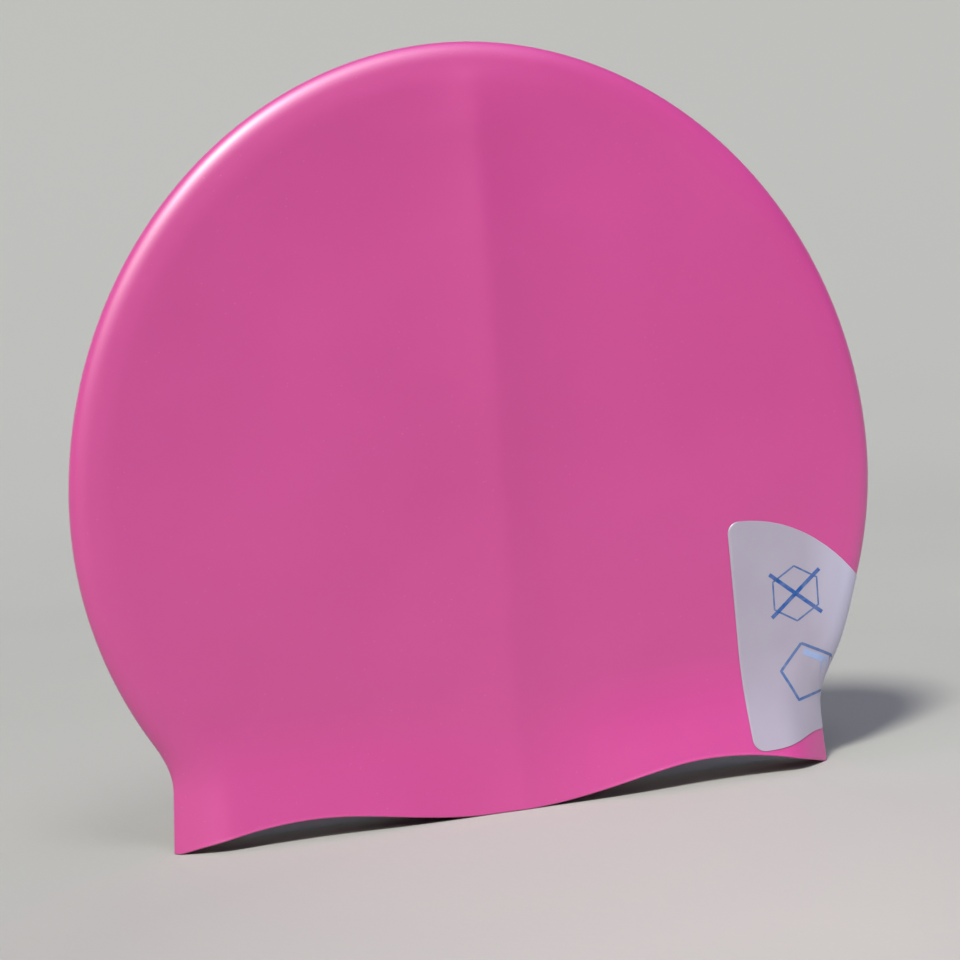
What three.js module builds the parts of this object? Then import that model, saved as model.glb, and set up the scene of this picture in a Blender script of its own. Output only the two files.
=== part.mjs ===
// A moulded silicone swim cap, laid flat as it leaves its mould and stood upright on its hem.
// Millimetres. X runs from the front rim to the rear rim, Y through the thickness, Z up.
// The origin is on the floor under the middle of the cap. The near panel faces -Y.

import * as THREE from "three";

// Overall outline of the cap, seen square on to a panel.
const CAP_LENGTH = 220;
const CAP_HEIGHT = 202.6;
const WIDEST_HEIGHT = 85;
const LOWER_CURVE_HEIGHT = 110;
const DOME_POWER = 1.98;

// The neck and the hem, where the outline turns from the dome to a short upright band.
const HEM_LENGTH = 183;
const NECK_LENGTH = 180.7;
const NECK_HEIGHT = 15;
const NECK_BLEND = 5;

// The wave of the hem: it dips at the ear and rises between the ear and each corner.
const FRONT_ARCH = 5.4;
const REAR_ARCH = 6.9;
const HEM_DIP_CENTRE = -0.035;
const HEM_DIP_SHARE = 0.05;
const HEM_TOP_SHARE = 0.6;
const HEM_CORNER_SHARE = 0.985;
const HEM_BLEND_HEIGHT = 34;

// Half thickness of the laid-flat cap, at the rounded rim and at the middle of its nearly flat panels.
const RIM_HALF_THICKNESS = 3.3;
const RIM_DEPTH = 4.5;
const SHOULDER_HEIGHT = 0.95;
const SHOULDER_DEPTH = 9.6;
const RELIEF_DEPTH = 11.25;
const PANEL_HALF_THICKNESS = 6.6;
const PANEL_BULGE_DEPTH = 45;

// The hem's flare, which grows from the high height down to the low one, just below the floor.
const HEM_FLARE = 8.2;
const HEM_FLARE_LOW = -12;
const HEM_FLARE_HIGH = 35;
const EAR_FLARE_SHARE = 0.28;
const FRONT_FLARE_SHARE = 0.64;
const EAR_REACH_SHARE = 0.45;

// The silicone skin.
const WALL = 0.7;
const HEM_WALL = 1.2;
const HEM_BAND_HEIGHT = 12;

// The soft upright ridge down the middle of each panel.
const RIDGE_HEIGHT = 2;
const RIDGE_REACH = 10;
const RIDGE_CREST = 2.6;
const RIDGE_FOOT_SHIFT = 0.8;
const RIDGE_TOP_SHIFT = 3.9;

// The film label round the rear rim.
const LABEL_REACH = 45.1;
const LABEL_TOP = 69.5;
const LABEL_BOTTOM = 6.7;
const LABEL_FOLD_TOP = 50.3;
const LABEL_FOLD_BOTTOM = 9.3;
const LABEL_CORNER_RADIUS = 3.3;
const LABEL_SLANT = 1.7;
const LABEL_CREST_POWER = 1.2;
const LABEL_FOLD_SHARE = 0.35;
const LABEL_THICKNESS = 0.35;
const LABEL_GAP = 0.3;
const LABEL_BRIDGE = 1.2;

// Share of the rim and panel half thickness kept at each share of the height.
const THICKNESS_SHARES = [
  { height: 0.0, rim: 0.8, panel: 0.97 },
  { height: 0.08, rim: 0.8, panel: 0.97 },
  { height: 0.2, rim: 0.9, panel: 0.98 },
  { height: 0.42, rim: 1.0, panel: 1.0 },
  { height: 0.7, rim: 1.0, panel: 0.98 },
  { height: 1.0, rim: 0.92, panel: 0.9 },
];

// How strongly the ridge stands out at each share of the height.
const RIDGE_SHARES = [
  { height: 0.0, strength: 0.55 },
  { height: 0.3, strength: 0.7 },
  { height: 0.75, strength: 1.0 },
  { height: 0.88, strength: 0.8 },
  { height: 1.0, strength: 0.0 },
];

// Angles of one quarter of a level, from the rim to the ridge, close together where the skin turns fast.
const QUARTER_ANGLES = [0, 3.5, 7, 10.5, 14.5, 19, 24.5, 32, 42, 54, 66, 76, 82, 85, 87, 88.6];

// Heights of the lower levels as shares of the widest height.
const LOWER_LEVEL_SHARES = [0, 0.05, 0.1, 0.15, 0.2, 0.25, 0.3, 0.36, 0.43, 0.51, 0.6, 0.72, 0.86];
const UPPER_LEVELS = 21;

const LABEL_COLUMNS = 30;
const LABEL_ROWS = 12;

function clamp01(value) {
  return Math.min(1, Math.max(0, value));
}

function easeBetween(start, end, value) {
  const share = clamp01((value - start) / (end - start));
  return share * share * (3 - 2 * share);
}

// Reads one column of a table at a share of the height, rounded between the rows.
function readShares(rows, column, share) {
  const place = clamp01(share);
  for (let i = 1; i < rows.length; i += 1) {
    const low = rows[i - 1];
    const high = rows[i];
    if (place <= high.height) {
      const along = easeBetween(low.height, high.height, place);
      return low[column] + (high[column] - low[column]) * along;
    }
  }
  return rows[rows.length - 1][column];
}

// Half length of the outline at a height: a dome over a straight, slightly flared neck.
function outlineHalfLength(height) {
  const up = height > WIDEST_HEIGHT;
  const reach = up ? CAP_HEIGHT - WIDEST_HEIGHT : LOWER_CURVE_HEIGHT;
  const rise = clamp01(Math.abs(height - WIDEST_HEIGHT) / reach);
  const dome = (CAP_LENGTH / 2) * (1 - rise ** DOME_POWER) ** (1 / DOME_POWER);
  if (up) {
    return dome;
  }
  const flare = (HEM_LENGTH - NECK_LENGTH) / 2 / NECK_HEIGHT;
  const neck = HEM_LENGTH / 2 - flare * height;
  const gap = Math.abs(dome - neck);
  const fillet = Math.max(0, NECK_BLEND - gap);
  return Math.max(dome, neck) + (fillet * fillet) / (4 * NECK_BLEND);
}

// Rise of the hem above the floor, for a share of the way from the front corner (-1) to the rear one (1).
function hemRise(share) {
  const rear = share > HEM_DIP_CENTRE;
  const corner = rear ? 1 : -1;
  const place = (share - HEM_DIP_CENTRE) / (corner - HEM_DIP_CENTRE);
  const leaving = easeBetween(HEM_DIP_SHARE, HEM_TOP_SHARE, place);
  const closing = clamp01((place - HEM_TOP_SHARE) / (HEM_CORNER_SHARE - HEM_TOP_SHARE));
  return (rear ? REAR_ARCH : FRONT_ARCH) * leaving * (1 - closing * closing);
}

// How far the hem stands out from the panel, least at the ears.
function flareAt(height, share) {
  const hemward = 1 - easeBetween(HEM_FLARE_LOW, HEM_FLARE_HIGH, height);
  const fromEar = easeBetween(0, EAR_REACH_SHARE, Math.abs(share));
  const side = share < 0 ? FRONT_FLARE_SHARE : 1;
  return HEM_FLARE * hemward * (EAR_FLARE_SHARE + (side - EAR_FLARE_SHARE) * fromEar);
}

// How far the ridge stands out: a soft crest that leans a little to the rear, with long flanks.
function ridgeAt(x, level) {
  const crest = RIDGE_FOOT_SHIFT + (RIDGE_TOP_SHIFT - RIDGE_FOOT_SHIFT) * level;
  const fall = Math.exp((RIDGE_CREST - Math.hypot(x - crest, RIDGE_CREST)) / RIDGE_REACH);
  return RIDGE_HEIGHT * readShares(RIDGE_SHARES, "strength", level) * fall;
}

// Half thickness of the cap at a place on its middle plane.
function halfThickness(x, height, share) {
  const half = outlineHalfLength(height);
  const inward = Math.max(0, half * half - x * x) / CAP_LENGTH;
  const level = height / CAP_HEIGHT;
  const rim = RIM_HALF_THICKNESS * readShares(THICKNESS_SHARES, "rim", level);
  const panel = PANEL_HALF_THICKNESS * readShares(THICKNESS_SHARES, "panel", level);
  const turn = 1 - Math.min(inward, RIM_DEPTH) / RIM_DEPTH;
  const rounded = rim * Math.sqrt(1 - turn * turn);
  const shoulder = SHOULDER_HEIGHT * easeBetween(0, SHOULDER_DEPTH, inward);
  const bulge = 1 - Math.exp(-((inward / PANEL_BULGE_DEPTH) ** 2));
  const inside = easeBetween(0, RELIEF_DEPTH, inward);
  const flat = rounded + shoulder + (panel - rim - SHOULDER_HEIGHT) * bulge;
  return flat + inside * (flareAt(height, share) + ridgeAt(x, level));
}

// A point on the outside of the skin. The angle is 0 at the rear rim and a quarter turn at the near ridge.
function skinPoint(angle, level) {
  const share = Math.cos(angle);
  const wave = 1 - easeBetween(0, HEM_BLEND_HEIGHT, level);
  const height = level + hemRise(share) * wave;
  const x = outlineHalfLength(height) * share;
  const side = Math.sign(Math.sin(angle));
  const y = -side * halfThickness(x, height, share);
  return new THREE.Vector3(x, y, height);
}

// The level that the hem's wave carries to a given height.
function levelAtHeight(share, height) {
  const rise = hemRise(share);
  let level = height;
  for (let i = 0; i < 16; i += 1) {
    level = height - rise * (1 - easeBetween(0, HEM_BLEND_HEIGHT, level));
  }
  return Math.max(0, level);
}

// The outward direction of the skin, from points close by.
function skinNormal(angle, level) {
  const turn = 0.004;
  const climb = Math.min(0.05, (CAP_HEIGHT - level) / 4);
  const along = skinPoint(angle + turn, level).sub(skinPoint(angle - turn, level));
  const low = Math.max(0, level - climb);
  const upward = skinPoint(angle, level + climb).sub(skinPoint(angle, low));
  return upward.cross(along).normalize();
}

function levelHeights() {
  const heights = LOWER_LEVEL_SHARES.map((share) => share * WIDEST_HEIGHT);
  for (let i = 0; i < UPPER_LEVELS; i += 1) {
    const lift = (1 - (1 - i / UPPER_LEVELS) ** 1.35) * (Math.PI / 2);
    heights.push(WIDEST_HEIGHT + (CAP_HEIGHT - WIDEST_HEIGHT) * Math.sin(lift));
  }
  return heights;
}

function ringAngles() {
  const quarter = QUARTER_ANGLES.map((degrees) => (degrees * Math.PI) / 180);
  const half = [...quarter, Math.PI / 2, ...quarter.slice(1).reverse().map((a) => Math.PI - a)];
  return [...half, ...half.map((a) => a + Math.PI)];
}

function wallAt(level) {
  return WALL + (HEM_WALL - WALL) * (1 - easeBetween(0.4 * HEM_BAND_HEIGHT, HEM_BAND_HEIGHT, level));
}

// The inside of the skin. Its lowest ring keeps the height of the outside, so that the hem is cut level.
function liningPoint(angle, level) {
  const outward = skinNormal(angle, level);
  outward.z *= easeBetween(0, HEM_BAND_HEIGHT, level);
  outward.normalize();
  return skinPoint(angle, level).addScaledVector(outward, -wallAt(level));
}

function meshFrom(name, points, faces, look) {
  const geometry = new THREE.BufferGeometry();
  const flat = points.flatMap((point) => [point.x, point.y, point.z]);
  geometry.setAttribute("position", new THREE.Float32BufferAttribute(flat, 3));
  geometry.setIndex(faces.flat());
  geometry.computeVertexNormals();
  const mesh = new THREE.Mesh(geometry, new THREE.MeshStandardMaterial(look));
  mesh.name = name;
  return mesh;
}

// Adds the two triangles of one patch, wound so that they face outward or inward.
function addPatch(faces, a, b, c, d, outward) {
  if (outward) {
    faces.push([a, b, c], [a, c, d]);
  } else {
    faces.push([a, c, b], [a, d, c]);
  }
}

// One face of the skin, level by level and closed at the top, as indices into the shared points.
function addBag(points, faces, pointAt, topHeight, angles, heights, outward) {
  const first = points.length;
  for (const height of heights) {
    for (const angle of angles) {
      points.push(pointAt(angle, height));
    }
  }
  const count = angles.length;
  for (let row = 0; row + 1 < heights.length; row += 1) {
    for (let column = 0; column < count; column += 1) {
      const next = (column + 1) % count;
      const low = first + row * count;
      const high = low + count;
      addPatch(faces, low + column, high + column, high + next, low + next, outward);
    }
  }
  const top = points.length;
  points.push(new THREE.Vector3(0, 0, topHeight));
  const last = first + (heights.length - 1) * count;
  for (let column = 0; column < count; column += 1) {
    const next = (column + 1) % count;
    faces.push(outward ? [last + column, top, last + next] : [last + column, last + next, top]);
  }
  return first;
}

function buildCapShell() {
  const points = [];
  const faces = [];
  const angles = ringAngles();
  const heights = levelHeights();
  const outer = addBag(points, faces, skinPoint, CAP_HEIGHT, angles, heights, true);
  const inner = addBag(points, faces, liningPoint, CAP_HEIGHT - WALL, angles, heights, false);
  for (let column = 0; column < angles.length; column += 1) {
    const next = (column + 1) % angles.length;
    addPatch(faces, outer + column, outer + next, inner + next, inner + column, true);
  }
  return meshFrom("cap_shell", points, faces, { color: 0xd6488f, roughness: 0.42, metalness: 0 });
}

// A place on the label: the share runs from the near wing's inner edge (-1) over the fold (0) to the
// far wing's inner edge (1), and the rise from the bottom edge (0) to the top edge (1).
function labelPlace(share, rise) {
  const spread = Math.abs(share);
  const lift = Math.sin((Math.PI / 2) * spread ** LABEL_CREST_POWER) ** 2;
  const top = LABEL_FOLD_TOP + (LABEL_TOP - LABEL_FOLD_TOP) * lift;
  const drop = easeBetween(0.4, 0.95, spread);
  const bottom = LABEL_FOLD_BOTTOM + (LABEL_BOTTOM - LABEL_FOLD_BOTTOM) * drop;
  const height = bottom + (top - bottom) * rise;
  const fromEnd = Math.min(rise, 1 - rise) * (LABEL_TOP - LABEL_BOTTOM);
  const short = 1 - clamp01(fromEnd / LABEL_CORNER_RADIUS);
  const corner = LABEL_CORNER_RADIUS * (1 - Math.sqrt(1 - short * short));
  const slant = LABEL_SLANT * (1 - rise);
  const edge = CAP_LENGTH / 2 - LABEL_REACH + slant + corner;
  const angle = -share * Math.acos(clamp01(edge / outlineHalfLength(height)));
  return { angle, level: levelAtHeight(Math.cos(angle), height) };
}

function labelPoint(share, rise, lift) {
  const place = labelPlace(share, rise);
  const nearFold = Math.exp(-((share / LABEL_FOLD_SHARE) ** 2));
  const inNeck = Math.sin(Math.PI * rise) ** 2;
  const away = LABEL_GAP + lift + LABEL_BRIDGE * nearFold * inNeck;
  const outward = skinNormal(place.angle, place.level);
  return skinPoint(place.angle, place.level).addScaledVector(outward, away);
}

function buildLabel() {
  const points = [];
  const faces = [];
  const width = LABEL_ROWS + 1;
  for (const lift of [LABEL_THICKNESS, 0]) {
    for (let column = 0; column <= LABEL_COLUMNS; column += 1) {
      const share = (2 * column) / LABEL_COLUMNS - 1;
      for (let row = 0; row <= LABEL_ROWS; row += 1) {
        points.push(labelPoint(share, 0.5 - 0.5 * Math.cos((Math.PI * row) / LABEL_ROWS), lift));
      }
    }
  }
  const back = (LABEL_COLUMNS + 1) * width;
  for (let column = 0; column < LABEL_COLUMNS; column += 1) {
    const near = column * width;
    const far = near + width;
    for (let row = 0; row < LABEL_ROWS; row += 1) {
      addPatch(faces, near + row, far + row, far + row + 1, near + row + 1, true);
      addPatch(faces, back + near + row, back + far + row, back + far + row + 1, back + near + row + 1, false);
    }
    addPatch(faces, near, back + near, back + far, far, true);
    addPatch(faces, near + LABEL_ROWS, far + LABEL_ROWS, back + far + LABEL_ROWS, back + near + LABEL_ROWS, true);
  }
  const end = LABEL_COLUMNS * width;
  for (let row = 0; row < LABEL_ROWS; row += 1) {
    addPatch(faces, row, row + 1, back + row + 1, back + row, true);
    addPatch(faces, end + row, back + end + row, back + end + row + 1, end + row + 1, true);
  }
  return meshFrom("label", points, faces, { color: 0xcfc9d6, roughness: 0.5, metalness: 0 });
}

const group = new THREE.Group();
group.name = "swim_cap";
group.add(buildCapShell());
group.add(buildLabel());

export default group;
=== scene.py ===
"""A pink silicone swim cap, laid flat and stood on its hem, with a film label round its rear rim.

The cap keeps the shape rules of its CAD part, at a finer pitch. Sizes are in millimetres up to the
point where a mesh is made, and metres from there on.
"""

import math

import bpy
import numpy as np
from mathutils import Matrix, Vector


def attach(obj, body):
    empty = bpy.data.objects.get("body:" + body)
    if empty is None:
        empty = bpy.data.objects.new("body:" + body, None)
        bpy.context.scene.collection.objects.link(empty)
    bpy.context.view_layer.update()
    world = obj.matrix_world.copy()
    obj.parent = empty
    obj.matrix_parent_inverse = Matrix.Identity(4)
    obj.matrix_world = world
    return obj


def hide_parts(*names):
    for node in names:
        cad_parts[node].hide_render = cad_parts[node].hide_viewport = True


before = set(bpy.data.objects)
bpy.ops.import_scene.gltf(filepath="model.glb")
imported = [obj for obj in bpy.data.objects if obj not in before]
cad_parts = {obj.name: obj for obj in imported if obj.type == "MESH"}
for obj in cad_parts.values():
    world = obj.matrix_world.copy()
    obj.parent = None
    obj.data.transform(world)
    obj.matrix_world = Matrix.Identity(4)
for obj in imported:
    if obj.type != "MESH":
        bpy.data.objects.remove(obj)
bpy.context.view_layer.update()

MM = 0.001

# Overall outline of the cap, seen square on to a panel.
CAP_LENGTH = 220.0
CAP_HEIGHT = 202.6
WIDEST_HEIGHT = 85.0
LOWER_CURVE_HEIGHT = 110.0
DOME_POWER = 1.98

# The neck and the hem.
HEM_LENGTH = 183.0
NECK_LENGTH = 180.7
NECK_HEIGHT = 15.0
NECK_BLEND = 5.0
FRONT_ARCH = 5.4
REAR_ARCH = 6.9
HEM_DIP_CENTRE = -0.035
HEM_DIP_SHARE = 0.05
HEM_TOP_SHARE = 0.6
HEM_CORNER_SHARE = 0.985
HEM_BLEND_HEIGHT = 34.0

# Half thickness at the rounded rim and at the middle of a panel.
RIM_HALF_THICKNESS = 3.3
RIM_DEPTH = 4.5
SHOULDER_HEIGHT = 0.95
SHOULDER_DEPTH = 9.6
RELIEF_DEPTH = 11.25
PANEL_HALF_THICKNESS = 6.6
PANEL_BULGE_DEPTH = 45.0

# The hem's flare, which grows from the high height down to the low one, just below the floor.
HEM_FLARE = 8.2
HEM_FLARE_LOW = -12.0
HEM_FLARE_HIGH = 35.0
EAR_FLARE_SHARE = 0.28
FRONT_FLARE_SHARE = 0.64
EAR_REACH_SHARE = 0.45

# The silicone skin and the soft ridge down each panel.
WALL = 0.7
HEM_WALL = 1.2
HEM_BAND_HEIGHT = 12.0
HEM_BAND_FULL_SHARE = 0.4
HEM_EDGE_ROUND = 0.35
RIDGE_HEIGHT = 2.0
RIDGE_REACH = 10.0
RIDGE_CREST = 2.6
RIDGE_FOOT_SHIFT = 0.8
RIDGE_TOP_SHIFT = 3.9

# The film label round the rear rim.
LABEL_REACH = 45.1
LABEL_TOP = 69.5
LABEL_BOTTOM = 6.7
LABEL_FOLD_TOP = 50.3
LABEL_FOLD_BOTTOM = 9.3
LABEL_CORNER_RADIUS = 3.3
LABEL_SLANT = 1.7
LABEL_CREST_POWER = 1.2
LABEL_DROP_SHARES = (0.4, 0.95)
LABEL_FOLD_SHARE = 0.35
LABEL_BRIDGE = 1.2
FILM_THICKNESS = 0.09
FILM_GAP = 0.06
PRINT_LIFT = 0.02

# The marks printed on the label.
CROSS_CENTRE = (83.9, 48.0)
CROSS_WIDTH = 15.0
CROSS_HEIGHT = 12.0
HEXAGON_RADIUS = 7.6
HEXAGON_TURN = 90.0
PENTAGON_CENTRE = (86.0, 26.0)
PENTAGON_RADIUS = 8.2
PENTAGON_TURN = 100.0
BAND_SHARE = 0.72
THIN_LINE = 0.5
MEDIUM_LINE = 0.8
THICK_LINE = 1.1
BAND_WIDTH = 1.8

# Share of the rim and panel half thickness kept at each share of the height: height, rim, panel.
THICKNESS_SHARES = np.array([
    (0.00, 0.80, 0.97),
    (0.08, 0.80, 0.97),
    (0.20, 0.90, 0.98),
    (0.42, 1.00, 1.00),
    (0.70, 1.00, 0.98),
    (1.00, 0.92, 0.90),
])

# How strongly the ridge stands out at each share of the height: height, strength.
RIDGE_SHARES = np.array([
    (0.00, 0.55),
    (0.30, 0.70),
    (0.75, 1.00),
    (0.88, 0.80),
    (1.00, 0.00),
])

# Mesh pitch. A crowding power above 1 draws the levels closer together at that end.
COLUMNS_PER_QUARTER = 70
LOWER_LEVELS = 60
UPPER_LEVELS = 72
HEM_CROWDING = 1.25
TOP_CROWDING = 1.35
RING_CROWDING = 0.6
HEM_EDGE_LOOPS = 5
LABEL_COLUMNS = 150
LABEL_ROWS = 60
STROKE_STEP = 0.5

# The camera, at the photograph's angle to the cap. Its reach is in metres.
CAMERA_AZIMUTH = -16.0
CAMERA_ELEVATION = 4.63
CAMERA_ROLL = -4.74
CAMERA_DISTANCE = 634.8
CAMERA_TARGET = (-1.77, 0.0, 87.75)
CAMERA_LENS = 90.0
CAMERA_SENSOR = 36.0
CAMERA_REACH = 50.0

# The lights: distant suns by name, direction, strength, spread in degrees and colour, then a lamp
# near the rear rim and an even sky.
SUNS = [
    ("key_light", (-0.36, -0.49, 0.79), 3.60, 10.0, (1.0, 0.985, 0.96)),
    ("left_light", (-0.68, -0.49, 0.55), 0.55, 20.0, (1.0, 0.985, 0.96)),
    ("over_light", (0.05, -0.49, 0.87), 0.60, 20.0, (1.0, 0.985, 0.96)),
    ("top_light", (0.10, -0.25, 1.00), 0.60, 50.0, (0.45, 0.45, 1.0)),
]
SIDE_PLACE = (330.0, -130.0, 60.0)
SIDE_AIM = (CAP_LENGTH / 2, 0.0, 0.4 * CAP_HEIGHT)
SIDE_SIZE = 160.0
SIDE_POWER = 0.22
SIDE_COLOUR = (0.86, 0.9, 1.0)
SKY_COLOUR = (0.50, 0.72, 1.0)
SKY_STRENGTH = 0.10

# Colours. The pairs are the two ends of a slow cloudy change.
PINK = ((0.52, 0.043, 0.232), (0.56, 0.049, 0.255))
PINK_DUST = (0.60, 0.11, 0.31)
# Painted shade on the hem's edge where it faces down.
PINK_PAINTED_SHADE = (0.36, 0.018, 0.10)
LILAC = ((0.345, 0.31, 0.38), (0.375, 0.34, 0.41))
LILAC_DUST = (0.42, 0.39, 0.43)
# Painted light: the label lighter and bluer towards its fold.
LILAC_PAINTED_LIGHT = (0.47, 0.45, 0.57)
STRONG_BLUE = (0.0, 0.07, 0.30)
FAINT_BLUE = (0.04, 0.11, 0.30)
PALE_BLUE = (0.27, 0.36, 0.60)
FLOOR_GREY = ((0.36, 0.357, 0.322), (0.385, 0.381, 0.345))
FLOOR_FAR = (0.325, 0.328, 0.296)
# Painted light: a pool of lighter floor just in front of the cap.
FLOOR_PAINTED_LIGHT = (0.44, 0.425, 0.385)

# The part of a noise's values over which a surface changes.
NOISE_SPAN = (0.3, 0.7)

# Where the colours change: the upright part of the normal where the hem's edge faces down, for its painted
# shade; millimetres along the cap at the label's fold, for its painted light; and metres on the floor, for
# the darker far floor and the painted pool of light in front of the cap.
PAINTED_SHADE_NORMALS = (-0.55, -0.9)
FOLD_PAINTED_LIGHT = (87.0, 101.0)
FLOOR_FADE = (-0.3, 1.2)
PAINTED_LIGHT_POOL_CENTRE = (0.0, -0.17, 0.0)
PAINTED_LIGHT_POOL_REACH = (0.03, 0.15)

# The floor, which runs flat, bends up behind the cap and ends in a long slope.
FLOOR_HALF_WIDTH = 9000.0
FLOOR_FRONT = -9000.0
FLOOR_FLAT_END = 500.0
FLOOR_BEND_RADIUS = 1600.0
FLOOR_SLOPE = math.radians(50.0)
FLOOR_SLOPE_LENGTH = 3500.0
FLOOR_BEND_STEPS = 32


def clamp01(value):
    return np.clip(value, 0.0, 1.0)


def ease_between(start, end, value):
    share = clamp01((value - start) / (end - start))
    return share * share * (3.0 - 2.0 * share)


def read_shares(rows, column, share):
    """One column of a table at a share of the height, rounded between the rows."""
    place = clamp01(np.asarray(share, float))
    result = np.full(place.shape, rows[-1, column])
    for low, high in reversed(list(zip(rows[:-1], rows[1:]))):
        along = ease_between(low[0], high[0], place)
        result = np.where(place <= high[0], low[column] + (high[column] - low[column]) * along, result)
    return result


def outline_half_length(height):
    """Half length of the outline: a dome over a straight, slightly flared neck."""
    height = np.asarray(height, float)
    up = height > WIDEST_HEIGHT
    reach = np.where(up, CAP_HEIGHT - WIDEST_HEIGHT, LOWER_CURVE_HEIGHT)
    rise = clamp01(np.abs(height - WIDEST_HEIGHT) / reach)
    dome = CAP_LENGTH / 2 * (1 - rise ** DOME_POWER) ** (1 / DOME_POWER)
    flare = (HEM_LENGTH - NECK_LENGTH) / 2 / NECK_HEIGHT
    neck = HEM_LENGTH / 2 - flare * height
    fillet = np.maximum(0.0, NECK_BLEND - np.abs(dome - neck))
    low = np.maximum(dome, neck) + fillet * fillet / (4 * NECK_BLEND)
    return np.where(up, dome, low)


def hem_rise(share):
    """Rise of the hem above the floor, from the front corner (-1) to the rear one (1)."""
    share = np.asarray(share, float)
    rear = share > HEM_DIP_CENTRE
    corner = np.where(rear, 1.0, -1.0)
    place = (share - HEM_DIP_CENTRE) / (corner - HEM_DIP_CENTRE)
    leaving = ease_between(HEM_DIP_SHARE, HEM_TOP_SHARE, place)
    closing = clamp01((place - HEM_TOP_SHARE) / (HEM_CORNER_SHARE - HEM_TOP_SHARE))
    return np.where(rear, REAR_ARCH, FRONT_ARCH) * leaving * (1 - closing * closing)


def flare_at(height, share):
    """How far the hem stands out from the panel, least at the ears."""
    hemward = 1 - ease_between(HEM_FLARE_LOW, HEM_FLARE_HIGH, height)
    from_ear = ease_between(0.0, EAR_REACH_SHARE, np.abs(share))
    side = np.where(share < 0, FRONT_FLARE_SHARE, 1.0)
    return HEM_FLARE * hemward * (EAR_FLARE_SHARE + (side - EAR_FLARE_SHARE) * from_ear)


def ridge_at(x, level):
    """How far the ridge stands out: a soft crest that leans a little to the rear, with long flanks."""
    crest = RIDGE_FOOT_SHIFT + (RIDGE_TOP_SHIFT - RIDGE_FOOT_SHIFT) * level
    fall = np.exp((RIDGE_CREST - np.hypot(x - crest, RIDGE_CREST)) / RIDGE_REACH)
    return RIDGE_HEIGHT * read_shares(RIDGE_SHARES, 1, level) * fall


def half_thickness(x, height, share):
    """Half thickness of the cap at a place on its middle plane."""
    half = outline_half_length(height)
    inward = np.maximum(0.0, half * half - x * x) / CAP_LENGTH
    level = height / CAP_HEIGHT
    rim = RIM_HALF_THICKNESS * read_shares(THICKNESS_SHARES, 1, level)
    panel = PANEL_HALF_THICKNESS * read_shares(THICKNESS_SHARES, 2, level)
    turn = 1 - np.minimum(inward, RIM_DEPTH) / RIM_DEPTH
    rounded = rim * np.sqrt(1 - turn * turn)
    shoulder = SHOULDER_HEIGHT * ease_between(0.0, SHOULDER_DEPTH, inward)
    bulge = 1 - np.exp(-((inward / PANEL_BULGE_DEPTH) ** 2))
    inside = ease_between(0.0, RELIEF_DEPTH, inward)
    flat = rounded + shoulder + (panel - rim - SHOULDER_HEIGHT) * bulge
    return flat + inside * (flare_at(height, share) + ridge_at(x, level))


def skin_point(angle, level):
    """The outside of the skin. The angle is 0 at the rear rim and a quarter turn at the near ridge."""
    angle, level = np.broadcast_arrays(np.asarray(angle, float), np.asarray(level, float))
    share = np.cos(angle)
    wave = 1 - ease_between(0.0, HEM_BLEND_HEIGHT, level)
    height = level + hem_rise(share) * wave
    x = outline_half_length(height) * share
    y = -np.sign(np.sin(angle)) * half_thickness(x, height, share)
    return np.stack([x, y, height], axis=-1)


def skin_normal(angle, level):
    """The outward direction of the skin, from points close by."""
    turn = 0.004
    climb = np.minimum(0.05, (CAP_HEIGHT - level) / 4)
    along = skin_point(angle + turn, level) - skin_point(angle - turn, level)
    upward = skin_point(angle, level + climb) - skin_point(angle, np.maximum(0.0, level - climb))
    outward = np.cross(upward, along)
    return outward / np.linalg.norm(outward, axis=-1, keepdims=True)


def level_at_height(share, height):
    """The level that the hem's wave carries to a given height."""
    rise = hem_rise(share)
    level = height
    for _ in range(16):
        level = height - rise * (1 - ease_between(0.0, HEM_BLEND_HEIGHT, level))
    return np.maximum(0.0, level)


def wall_at(level):
    """Thickness of the skin at a level, greater in the hem band."""
    band = 1 - ease_between(HEM_BAND_FULL_SHARE * HEM_BAND_HEIGHT, HEM_BAND_HEIGHT, level)
    return WALL + (HEM_WALL - WALL) * band


def lining_point(angle, level):
    """The inside of the skin. Its lowest ring keeps the height of the outside."""
    outward = skin_normal(angle, level)
    outward[..., 2] *= ease_between(0.0, HEM_BAND_HEIGHT, level)
    outward /= np.linalg.norm(outward, axis=-1, keepdims=True)
    return skin_point(angle, level) - outward * wall_at(level)[..., None]


def ring_angles():
    """Angles round one level, closer together at the rim and at the ridge than between them."""
    step = np.arange(4 * COLUMNS_PER_QUARTER) / COLUMNS_PER_QUARTER
    return math.pi / 2 * (step - RING_CROWDING * np.sin(2 * math.pi * step) / (2 * math.pi))


def level_heights():
    """Levels from the hem to just under the top, closer together at the hem and at the top."""
    lower = np.linspace(0.0, 1.0, LOWER_LEVELS, endpoint=False)
    upper = np.linspace(0.0, 1.0, UPPER_LEVELS, endpoint=False)
    low = WIDEST_HEIGHT * lower ** HEM_CROWDING
    lift = math.pi / 2 * (1 - (1 - upper) ** TOP_CROWDING)
    high = WIDEST_HEIGHT + (CAP_HEIGHT - WIDEST_HEIGHT) * np.sin(lift)
    return np.concatenate([low, high])


def grid_faces(first, rows, columns, closed, flip):
    """Quads over rows of points that start at index first."""
    row = np.arange(rows - 1)[:, None] * columns
    last = columns if closed else columns - 1
    column = np.arange(last)[None, :]
    after = (column + 1) % columns
    corners = [row + column, row + columns + column, row + columns + after, row + after]
    quads = first + np.stack(corners, axis=-1).reshape(-1, 4)
    return quads[:, ::-1] if flip else quads


def make_mesh_object(name, points, faces, material):
    """A smooth-shaded object from points in millimetres and a list of faces."""
    mesh = bpy.data.meshes.new(name)
    mesh.from_pydata((np.asarray(points) * MM).tolist(), [], [list(map(int, face)) for face in faces])
    mesh.validate()
    mesh.shade_smooth()
    mesh.materials.append(material)
    made = bpy.data.objects.new(name, mesh)
    bpy.context.collection.objects.link(made)
    return made


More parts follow.
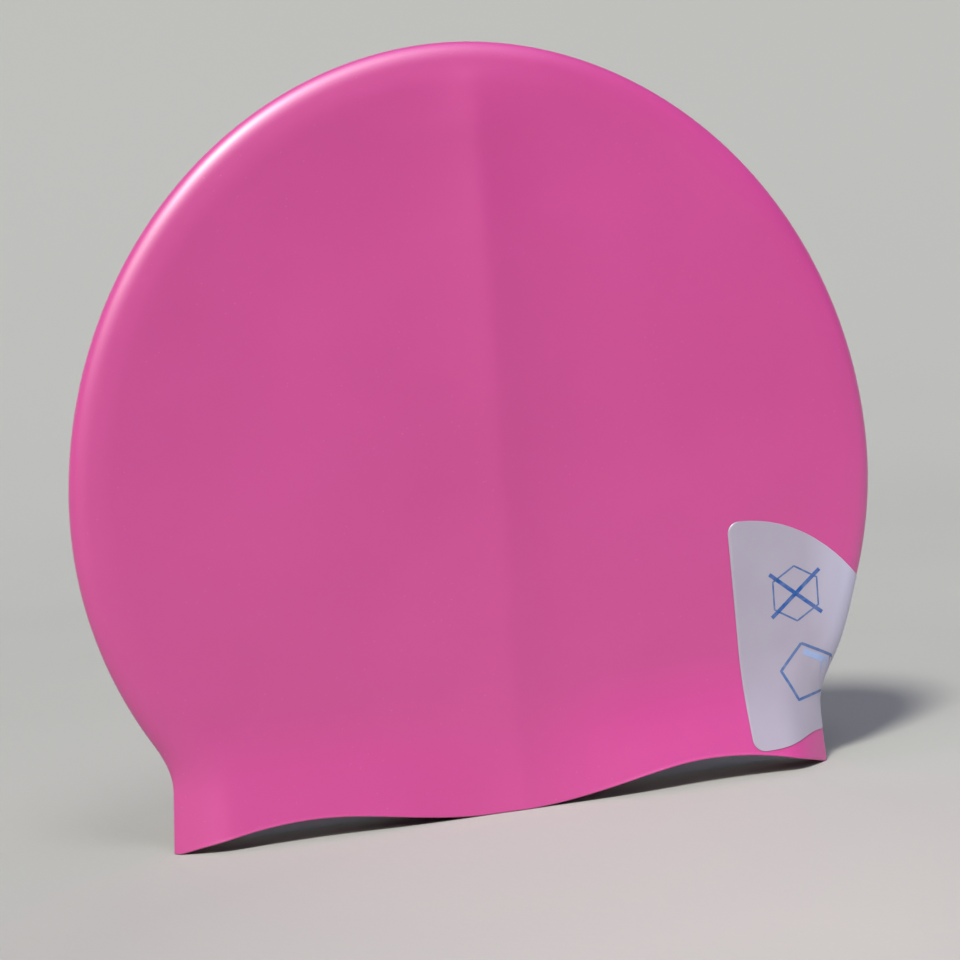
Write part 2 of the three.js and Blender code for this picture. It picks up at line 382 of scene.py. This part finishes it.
def hem_edge_rings(angles):
    """The rounded cut edge of the hem, from the outside to the inside."""
    level = np.zeros_like(angles)
    outward = skin_normal(angles, level)
    outward[:, 2] = 0.0
    outward /= np.linalg.norm(outward, axis=-1, keepdims=True)
    outer = skin_point(angles, level)
    rings = []
    for step in range(HEM_EDGE_LOOPS + 2):
        turn = math.pi * step / (HEM_EDGE_LOOPS + 1)
        inward = HEM_WALL / 2 * (1 - math.cos(turn))
        ring = outer - outward * inward
        ring[:, 2] += HEM_EDGE_ROUND * (1 - math.sin(turn))
        rings.append(ring)
    return rings


def build_cap_shell(material):
    """The one-piece silicone skin: outside, lining and the rounded hem edge that joins them."""
    angles = ring_angles()
    heights = level_heights()
    columns = len(angles)
    edge = hem_edge_rings(angles)
    outer = [skin_point(angles, np.full(columns, level)) for level in heights[1:]]
    inner = [lining_point(angles, np.full(columns, level)) for level in heights[1:]]
    rings = outer[::-1] + edge + inner
    points = np.concatenate(rings + [np.array([[0, 0, CAP_HEIGHT], [0, 0, CAP_HEIGHT - WALL]])])
    faces = grid_faces(0, len(rings), columns, closed=True, flip=True).tolist()
    top = len(points) - 2
    last = (len(rings) - 1) * columns
    for column in range(columns):
        after = (column + 1) % columns
        faces.append([column, top, after])
        faces.append([last + column, last + after, top + 1])
    return make_mesh_object("silicone_cap", points, faces, material)


def label_edges(share):
    """Bottom and top height of the label, at a share of the way from its fold to a wing's end."""
    spread = np.abs(share)
    lift = np.sin(math.pi / 2 * spread ** LABEL_CREST_POWER) ** 2
    top = LABEL_FOLD_TOP + (LABEL_TOP - LABEL_FOLD_TOP) * lift
    drop = ease_between(*LABEL_DROP_SHARES, spread)
    bottom = LABEL_FOLD_BOTTOM + (LABEL_BOTTOM - LABEL_FOLD_BOTTOM) * drop
    return bottom, top


def label_place(share, rise):
    """Angle and level of a place on the label, as the CAD label has it."""
    bottom, top = label_edges(share)
    height = bottom + (top - bottom) * rise
    from_end = np.minimum(rise, 1 - rise) * (LABEL_TOP - LABEL_BOTTOM)
    short = 1 - clamp01(from_end / LABEL_CORNER_RADIUS)
    corner = LABEL_CORNER_RADIUS * (1 - np.sqrt(1 - short * short))
    slant = LABEL_SLANT * (1 - rise)
    edge = CAP_LENGTH / 2 - LABEL_REACH + slant + corner
    angle = -share * np.arccos(clamp01(edge / outline_half_length(height)))
    return angle, level_at_height(np.cos(angle), height)


def above_skin(angle, level, share, rise, lift):
    """A place lifted clear of the skin, and bridging the hollow of the neck at the label's fold."""
    near_fold = np.exp(-((share / LABEL_FOLD_SHARE) ** 2))
    in_neck = np.sin(math.pi * rise) ** 2
    away = FILM_GAP + lift + LABEL_BRIDGE * near_fold * in_neck
    return skin_point(angle, level) + skin_normal(angle, level) * away[..., None]


def label_point(share, rise, lift):
    """A place on the label, at a share of the way to a wing's end and a rise from its foot."""
    angle, level = label_place(share, rise)
    return above_skin(angle, level, share, rise, lift)


def build_label(material):
    """The film label: a front face, a back face and the thin edge between them."""
    share = np.linspace(-1.0, 1.0, LABEL_COLUMNS + 1)[:, None]
    rise = (0.5 - 0.5 * np.cos(np.linspace(0.0, math.pi, LABEL_ROWS + 1)))[None, :]
    share, rise = np.broadcast_arrays(share, rise)
    front = label_point(share, rise, FILM_THICKNESS).reshape(-1, 3)
    back = label_point(share, rise, 0.0).reshape(-1, 3)
    rows, columns = LABEL_COLUMNS + 1, LABEL_ROWS + 1
    faces = grid_faces(0, rows, columns, closed=False, flip=False).tolist()
    faces += grid_faces(len(front), rows, columns, closed=False, flip=True).tolist()
    index = np.arange(rows * columns).reshape(rows, columns)
    border = np.concatenate([index[0, :], index[1:, -1], index[-1, -2::-1], index[-2:0:-1, 0]])
    after = np.roll(border, -1)
    faces += np.stack([border, after, after + len(front), border + len(front)], axis=-1).tolist()
    return make_mesh_object("film_label", np.concatenate([front, back]), faces, material)


def print_point(x, height):
    """A place on the near wing of the label, by its length along the cap and its height."""
    angle = np.arccos(clamp01(x / outline_half_length(height)))
    edge = CAP_LENGTH / 2 - LABEL_REACH
    share = angle / np.arccos(clamp01(edge / outline_half_length(height)))
    bottom, top = label_edges(share)
    rise = clamp01((height - bottom) / (top - bottom))
    level = level_at_height(np.cos(angle), height)
    return above_skin(angle, level, share, rise, FILM_THICKNESS + PRINT_LIFT)


def build_stroke(name, path, width, material, closed=False):
    """A printed line: a flat ribbon that follows the label's surface."""
    path = np.asarray(path, float)
    if closed:
        path = np.vstack([path, path[:1]])
    dense = []
    for start, end in zip(path[:-1], path[1:]):
        steps = max(2, int(np.hypot(*(end - start)) / STROKE_STEP))
        dense.append(start + (end - start) * np.linspace(0, 1, steps, endpoint=False)[:, None])
    dense = np.vstack(dense + [path[-1:]])
    ahead = np.gradient(dense, axis=0)
    ahead /= np.linalg.norm(ahead, axis=1, keepdims=True)
    across = np.stack([-ahead[:, 1], ahead[:, 0]], axis=1) * width / 2
    sides = np.stack([dense - across, dense + across], axis=1).reshape(-1, 2)
    points = print_point(sides[:, 0], sides[:, 1])
    faces = [[2 * i, 2 * i + 1, 2 * i + 3, 2 * i + 2] for i in range(len(dense) - 1)]
    return make_mesh_object(name, points, faces, material)


def principled(material):
    return material.node_tree.nodes["Principled BSDF"]


def new_material(name):
    material = bpy.data.materials.new(name)
    material.use_nodes = True
    return material


def build_surface_group():
    """A shared effect: slow cloudy variation, and a fine grain with a height for bump."""
    group = bpy.data.node_groups.new("moulded_surface", "ShaderNodeTree")
    sockets = group.interface
    for name, value in (("Cloud Scale", 20.0), ("Grain Scale", 1500.0), ("Dust Cover", 0.5)):
        socket = sockets.new_socket(name=name, in_out="INPUT", socket_type="NodeSocketFloat")
        socket.default_value = value
    for name in ("Cloud", "Grain", "Dust"):
        sockets.new_socket(name=name, in_out="OUTPUT", socket_type="NodeSocketFloat")
    nodes, links = group.nodes, group.links
    entry = nodes.new("NodeGroupInput")
    leave = nodes.new("NodeGroupOutput")
    place = nodes.new("ShaderNodeTexCoord")
    cloud = nodes.new("ShaderNodeTexNoise")
    cloud.inputs["Detail"].default_value = 3.0
    cloud.inputs["Roughness"].default_value = 0.45
    grain = nodes.new("ShaderNodeTexNoise")
    grain.inputs["Detail"].default_value = 2.0
    specks = nodes.new("ShaderNodeTexVoronoi")
    specks.inputs["Scale"].default_value = 420.0
    sizes = nodes.new("ShaderNodeTexNoise")
    sizes.inputs["Scale"].default_value = 60.0
    near = nodes.new("ShaderNodeMath")
    near.operation = "LESS_THAN"
    limit = nodes.new("ShaderNodeMath")
    limit.operation = "MULTIPLY"
    links.new(entry.outputs["Cloud Scale"], cloud.inputs["Scale"])
    links.new(entry.outputs["Grain Scale"], grain.inputs["Scale"])
    for texture in (cloud, grain, specks, sizes):
        links.new(place.outputs["Object"], texture.inputs["Vector"])
    links.new(sizes.outputs["Fac"], limit.inputs[0])
    links.new(entry.outputs["Dust Cover"], limit.inputs[1])
    links.new(specks.outputs["Distance"], near.inputs[0])
    links.new(limit.outputs[0], near.inputs[1])
    links.new(cloud.outputs["Fac"], leave.inputs["Cloud"])
    links.new(grain.outputs["Fac"], leave.inputs["Grain"])
    links.new(near.outputs[0], leave.inputs["Dust"])
    return group


def add_surface(material, group, cloud_scale, grain_scale, dust_cover):
    """The shared surface effect in one material, at scales of its own."""
    node = material.node_tree.nodes.new("ShaderNodeGroup")
    node.node_tree = group
    node.inputs["Cloud Scale"].default_value = cloud_scale
    node.inputs["Grain Scale"].default_value = grain_scale
    node.inputs["Dust Cover"].default_value = dust_cover
    return node


def mix_colours(material, mask, low, high):
    """A colour that runs from low to high as the mask does."""
    node = material.node_tree.nodes.new("ShaderNodeMix")
    node.data_type = "RGBA"
    material.node_tree.links.new(mask, node.inputs["Factor"])
    for socket, colour in ((node.inputs["A"], low), (node.inputs["B"], high)):
        if isinstance(colour, tuple):
            socket.default_value = (*colour, 1.0)
        else:
            material.node_tree.links.new(colour, socket)
    return node.outputs["Result"]


def spread(material, value, low, high):
    """A number that runs from low to high as a noise value crosses its span."""
    node = material.node_tree.nodes.new("ShaderNodeMapRange")
    node.inputs["From Min"].default_value = NOISE_SPAN[0]
    node.inputs["From Max"].default_value = NOISE_SPAN[1]
    node.inputs["To Min"].default_value = low
    node.inputs["To Max"].default_value = high
    material.node_tree.links.new(value, node.inputs["Value"])
    return node.outputs["Result"]


def parts_of_place(material, source):
    """The X, Y and Z parts of the object's own coordinates, or of its surface normal."""
    nodes = material.node_tree.nodes
    parts = nodes.new("ShaderNodeSeparateXYZ")
    place = nodes.new("ShaderNodeTexCoord")
    material.node_tree.links.new(place.outputs[source], parts.inputs["Vector"])
    return parts.outputs


def ramp(material, value, start, end):
    """A number that runs from 0 to 1 as the value goes from start to end."""
    node = material.node_tree.nodes.new("ShaderNodeMapRange")
    node.inputs["From Min"].default_value = start
    node.inputs["From Max"].default_value = end
    material.node_tree.links.new(value, node.inputs["Value"])
    return node.outputs["Result"]


def add_bump(material, height, distance, strength, under=None):
    """Bump on the shader's normal, on top of another bump where one is given."""
    node = material.node_tree.nodes.new("ShaderNodeBump")
    node.inputs["Distance"].default_value = distance
    node.inputs["Strength"].default_value = strength
    material.node_tree.links.new(height, node.inputs["Height"])
    if under:
        material.node_tree.links.new(under.outputs["Normal"], node.inputs["Normal"])
    material.node_tree.links.new(node.outputs["Normal"], principled(material).inputs["Normal"])
    return node


def silicone_material(group):
    """Satin pink silicone: slightly cloudy, faintly grained, with specks of dust, and painted shade
    darkening the hem's edge where it faces down.
    """
    material = new_material("pink_silicone")
    links = material.node_tree.links
    surface = add_surface(material, group, cloud_scale=16.0, grain_scale=1400.0, dust_cover=0.11)
    shader = principled(material)
    cloud = spread(material, surface.outputs["Cloud"], 0.0, 1.0)
    pink = mix_colours(material, cloud, *PINK)
    dusty = mix_colours(material, surface.outputs["Dust"], pink, PINK_DUST)
    # Painted shade: darker where the hem's edge faces down.
    facing_down_shade = ramp(material, parts_of_place(material, "Normal")["Z"], *PAINTED_SHADE_NORMALS)
    shaded_pink = mix_colours(material, facing_down_shade, dusty, PINK_PAINTED_SHADE)
    links.new(shaded_pink, shader.inputs["Base Color"])
    links.new(spread(material, surface.outputs["Cloud"], 0.43, 0.49), shader.inputs["Roughness"])
    shader.inputs["Subsurface Weight"].default_value = 0.12
    shader.inputs["Subsurface Radius"].default_value = (1.0, 0.25, 0.45)
    shader.inputs["Subsurface Scale"].default_value = 0.0015
    shader.inputs["IOR"].default_value = 1.5
    shader.inputs["Coat Weight"].default_value = 1.0
    shader.inputs["Coat Roughness"].default_value = 0.42
    shader.inputs["Coat IOR"].default_value = 1.65
    swell = add_bump(material, surface.outputs["Cloud"], 0.0012, 1.0)
    add_bump(material, surface.outputs["Grain"], 0.00006, 0.25, under=swell)
    return material


def film_material(group):
    """Thin whitish film with the pink of the cap showing through a little, and painted light making it
    lighter and bluer towards the fold.
    """
    material = new_material("label_film")
    links = material.node_tree.links
    surface = add_surface(material, group, cloud_scale=45.0, grain_scale=900.0, dust_cover=0.08)
    shader = principled(material)
    cloud = spread(material, surface.outputs["Cloud"], 0.0, 1.0)
    lilac = mix_colours(material, cloud, *LILAC)
    dusty = mix_colours(material, surface.outputs["Dust"], lilac, LILAC_DUST)
    # Painted light: lighter and bluer towards the fold.
    along = parts_of_place(material, "Object")["X"]
    foldward = ramp(material, along, FOLD_PAINTED_LIGHT[0] * MM, FOLD_PAINTED_LIGHT[1] * MM)
    lit_at_fold = mix_colours(material, foldward, dusty, LILAC_PAINTED_LIGHT)
    links.new(lit_at_fold, shader.inputs["Base Color"])
    links.new(spread(material, surface.outputs["Cloud"], 0.40, 0.48), shader.inputs["Roughness"])
    shader.inputs["Coat Weight"].default_value = 0.6
    shader.inputs["Coat Roughness"].default_value = 0.3
    add_bump(material, surface.outputs["Grain"], 0.00005, 0.2)
    return material


def ink_material(name, colour, group):
    """Printed ink, slightly uneven where the film is rough."""
    material = new_material(name)
    surface = add_surface(material, group, cloud_scale=600.0, grain_scale=1600.0, dust_cover=0.05)
    cloud = spread(material, surface.outputs["Cloud"], 0.0, 1.0)
    lighter = tuple(0.8 * part + 0.2 * 0.5 for part in colour)
    shade = mix_colours(material, cloud, colour, lighter)
    material.node_tree.links.new(shade, principled(material).inputs["Base Color"])
    principled(material).inputs["Roughness"].default_value = 0.45
    return material


def floor_material(group):
    """A plain pale floor, a little darker far behind the cap, with a painted pool of light making it a
    little lighter just in front of the cap.
    """
    material = new_material("pale_floor")
    links = material.node_tree.links
    surface = add_surface(material, group, cloud_scale=6.0, grain_scale=300.0, dust_cover=0.12)
    cloud = spread(material, surface.outputs["Cloud"], 0.0, 1.0)
    grey = mix_colours(material, cloud, *FLOOR_GREY)
    away = ramp(material, parts_of_place(material, "Object")["Y"], *FLOOR_FADE)
    faded = mix_colours(material, away, grey, FLOOR_FAR)
    # Painted light: a round pool of lighter floor just in front of the cap.
    place = material.node_tree.nodes.new("ShaderNodeTexCoord")
    reach = material.node_tree.nodes.new("ShaderNodeVectorMath")
    reach.operation = "DISTANCE"
    reach.inputs[1].default_value = PAINTED_LIGHT_POOL_CENTRE
    links.new(place.outputs["Object"], reach.inputs[0])
    beyond = ramp(material, reach.outputs["Value"], *PAINTED_LIGHT_POOL_REACH)
    with_painted_pool = mix_colours(material, beyond, FLOOR_PAINTED_LIGHT, faded)
    links.new(with_painted_pool, principled(material).inputs["Base Color"])
    principled(material).inputs["Roughness"].default_value = 0.85
    add_bump(material, surface.outputs["Grain"], 0.0003, 0.3)
    return material


def polygon(centre, radius, sides, turn):
    """The corners of a regular polygon on the label."""
    angles = math.radians(turn) + 2 * math.pi * np.arange(sides) / sides
    return np.stack([centre[0] + radius * np.cos(angles), centre[1] + radius * np.sin(angles)], axis=1)


def build_print(strong, faint, pale):
    """Plain geometric marks: two crossed strokes on a thin hexagon, and a pentagon with a pale band."""
    x, height = CROSS_CENTRE
    far_x, far_height = 0.5 * CROSS_WIDTH, 0.5 * CROSS_HEIGHT
    down = [(x - far_x, height + far_height), (x + far_x, height - far_height)]
    up = [(x - far_x, height - far_height), (x + far_x, height + far_height)]
    hexagon = polygon(CROSS_CENTRE, HEXAGON_RADIUS, 6, HEXAGON_TURN)
    pentagon = polygon(PENTAGON_CENTRE, PENTAGON_RADIUS, 5, PENTAGON_TURN)
    band = PENTAGON_CENTRE + BAND_SHARE * (pentagon[[0, 4, 3]] - PENTAGON_CENTRE)
    return [
        build_stroke("mark_hexagon", hexagon, THIN_LINE, faint, closed=True),
        build_stroke("mark_stroke_down", down, THICK_LINE, strong),
        build_stroke("mark_stroke_up", up, THICK_LINE, strong),
        build_stroke("mark_band", band, BAND_WIDTH, pale),
        build_stroke("mark_pentagon", pentagon, MEDIUM_LINE, faint, closed=True),
    ]


def build_stage(material):
    """A floor that curves up behind the cap into a long slope, with no line between the two."""
    profile = [(FLOOR_FRONT, 0.0), (FLOOR_FLAT_END, 0.0)]
    for step in range(1, FLOOR_BEND_STEPS + 1):
        turn = FLOOR_SLOPE * step / FLOOR_BEND_STEPS
        along = FLOOR_FLAT_END + FLOOR_BEND_RADIUS * math.sin(turn)
        profile.append((along, FLOOR_BEND_RADIUS * (1 - math.cos(turn))))
    y, z = profile[-1]
    rise = FLOOR_SLOPE_LENGTH * math.sin(FLOOR_SLOPE)
    profile.append((y + FLOOR_SLOPE_LENGTH * math.cos(FLOOR_SLOPE), z + rise))
    points = [(side, y, z) for y, z in profile for side in (-FLOOR_HALF_WIDTH, FLOOR_HALF_WIDTH)]
    faces = [[2 * i, 2 * i + 1, 2 * i + 3, 2 * i + 2] for i in range(len(profile) - 1)]
    floor = make_mesh_object("floor_sweep", points, faces, material)
    return floor


def place_camera():
    """The camera, at the photograph's angle and above the floor."""
    azimuth, elevation, roll = map(math.radians, (CAMERA_AZIMUTH, CAMERA_ELEVATION, CAMERA_ROLL))
    back = Vector((math.sin(azimuth) * math.cos(elevation),
                   -math.cos(azimuth) * math.cos(elevation),
                   math.sin(elevation)))
    level_right = Vector((math.cos(azimuth), math.sin(azimuth), 0.0))
    level_up = back.cross(level_right)
    right = math.cos(roll) * level_right + math.sin(roll) * level_up
    up = -math.sin(roll) * level_right + math.cos(roll) * level_up
    data = bpy.data.cameras.new("photo_view")
    data.lens = CAMERA_LENS
    data.sensor_width = CAMERA_SENSOR
    data.clip_end = CAMERA_REACH
    camera = bpy.data.objects.new("photo_view", data)
    bpy.context.collection.objects.link(camera)
    turn = Matrix((right, up, back)).transposed().to_4x4()
    place = (Vector(CAMERA_TARGET) + CAMERA_DISTANCE * back) * MM
    camera.matrix_world = Matrix.Translation(place) @ turn
    bpy.context.scene.camera = camera
    return camera


def add_sun(name, direction, strength, spread_degrees, colour):
    """A distant light that shines from a direction, alike on the cap's top and hem."""
    data = bpy.data.lights.new(name, "SUN")
    data.energy = strength
    data.angle = math.radians(spread_degrees)
    data.color = colour
    light = bpy.data.objects.new(name, data)
    light.rotation_euler = Vector(direction).to_track_quat("Z", "Y").to_euler()
    bpy.context.collection.objects.link(light)
    return light


def add_side_lamp():
    """A small soft lamp close to the rear rim, so that the near panel brightens towards it."""
    data = bpy.data.lights.new("side_light", "AREA")
    data.size = SIDE_SIZE * MM
    data.energy = SIDE_POWER
    data.color = SIDE_COLOUR
    light = bpy.data.objects.new("side_light", data)
    light.visible_glossy = False
    light.location = Vector(SIDE_PLACE) * MM
    towards = Vector(SIDE_AIM) - Vector(SIDE_PLACE)
    light.rotation_euler = towards.to_track_quat("-Z", "Y").to_euler()
    bpy.context.collection.objects.link(light)
    return light


def light_scene():
    """Suns from the upper left, a blue glow from above, the side lamp and a dim blue sky."""
    world = bpy.data.worlds.new("soft_sky")
    world.use_nodes = True
    sky = world.node_tree.nodes["Background"]
    sky.inputs["Color"].default_value = (*SKY_COLOUR, 1.0)
    sky.inputs["Strength"].default_value = SKY_STRENGTH
    bpy.context.scene.world = world
    for name, direction, strength, spread_degrees, colour in SUNS:
        add_sun(name, direction, strength, spread_degrees, colour)
    add_side_lamp()


def main():
    bpy.context.scene.view_settings.view_transform = "Standard"
    surface = build_surface_group()
    silicone = silicone_material(surface)
    film = film_material(surface)
    strong_ink = ink_material("strong_blue_ink", STRONG_BLUE, surface)
    faint_ink = ink_material("faint_blue_ink", FAINT_BLUE, surface)
    pale_ink = ink_material("pale_blue_ink", PALE_BLUE, surface)

    shell = build_cap_shell(silicone)
    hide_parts("cap_shell")
    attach(shell, "root")

    label = build_label(film)
    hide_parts("label")
    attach(label, "root")

    for mark in build_print(strong_ink, faint_ink, pale_ink):
        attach(mark, "root")

    build_stage(floor_material(surface))
    place_camera()
    light_scene()


main()
